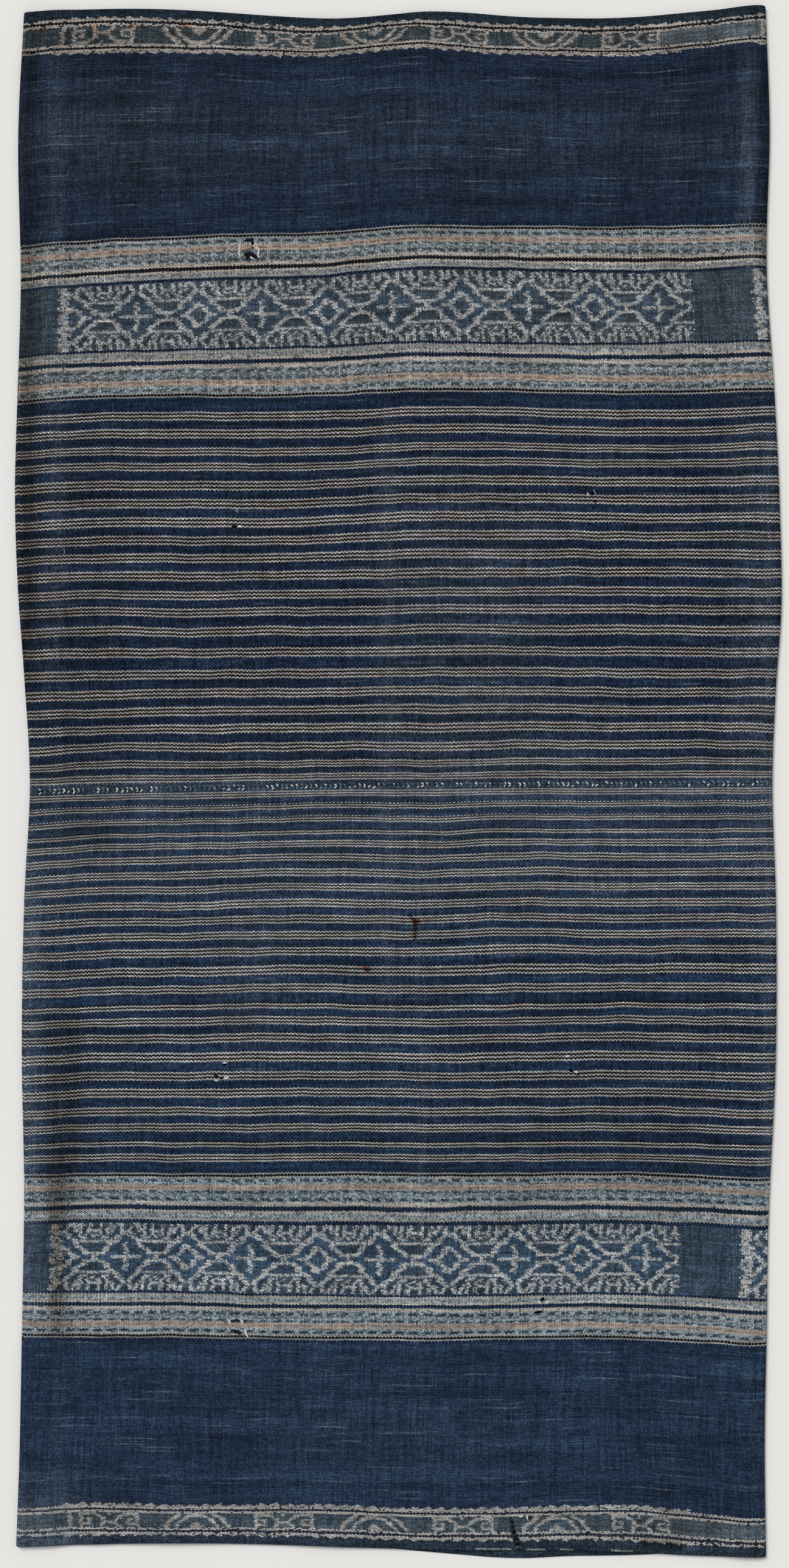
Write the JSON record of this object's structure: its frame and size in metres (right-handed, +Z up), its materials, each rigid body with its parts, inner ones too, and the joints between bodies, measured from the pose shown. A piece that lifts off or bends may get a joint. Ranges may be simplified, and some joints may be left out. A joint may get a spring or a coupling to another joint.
{
  "type": "ikat tube skirt cloth",
  "caption": "Handwoven warp ikat tube skirt cloth of joined loom lengths, pressed flat, with ikat bands, hook borders and pinstripes on indigo.",
  "frame": {"origin": "under the middle of the cloth's box, on the surface that it lies on", "axes": "+X to the right along the stripes, +Y towards the top hem, +Z up out of the cloth's front"},
  "size_m": [0.668, 1.3514, 0.0096],
  "materials": {
    "ikat_cotton": "matte handwoven cotton",
    "thread": "undyed handspun cotton thread"
  },
  "bodies": {
    "root": {"upper_panel": "ikat_cotton", "lower_panel": "ikat_cotton"}
  },
  "joints": []
}
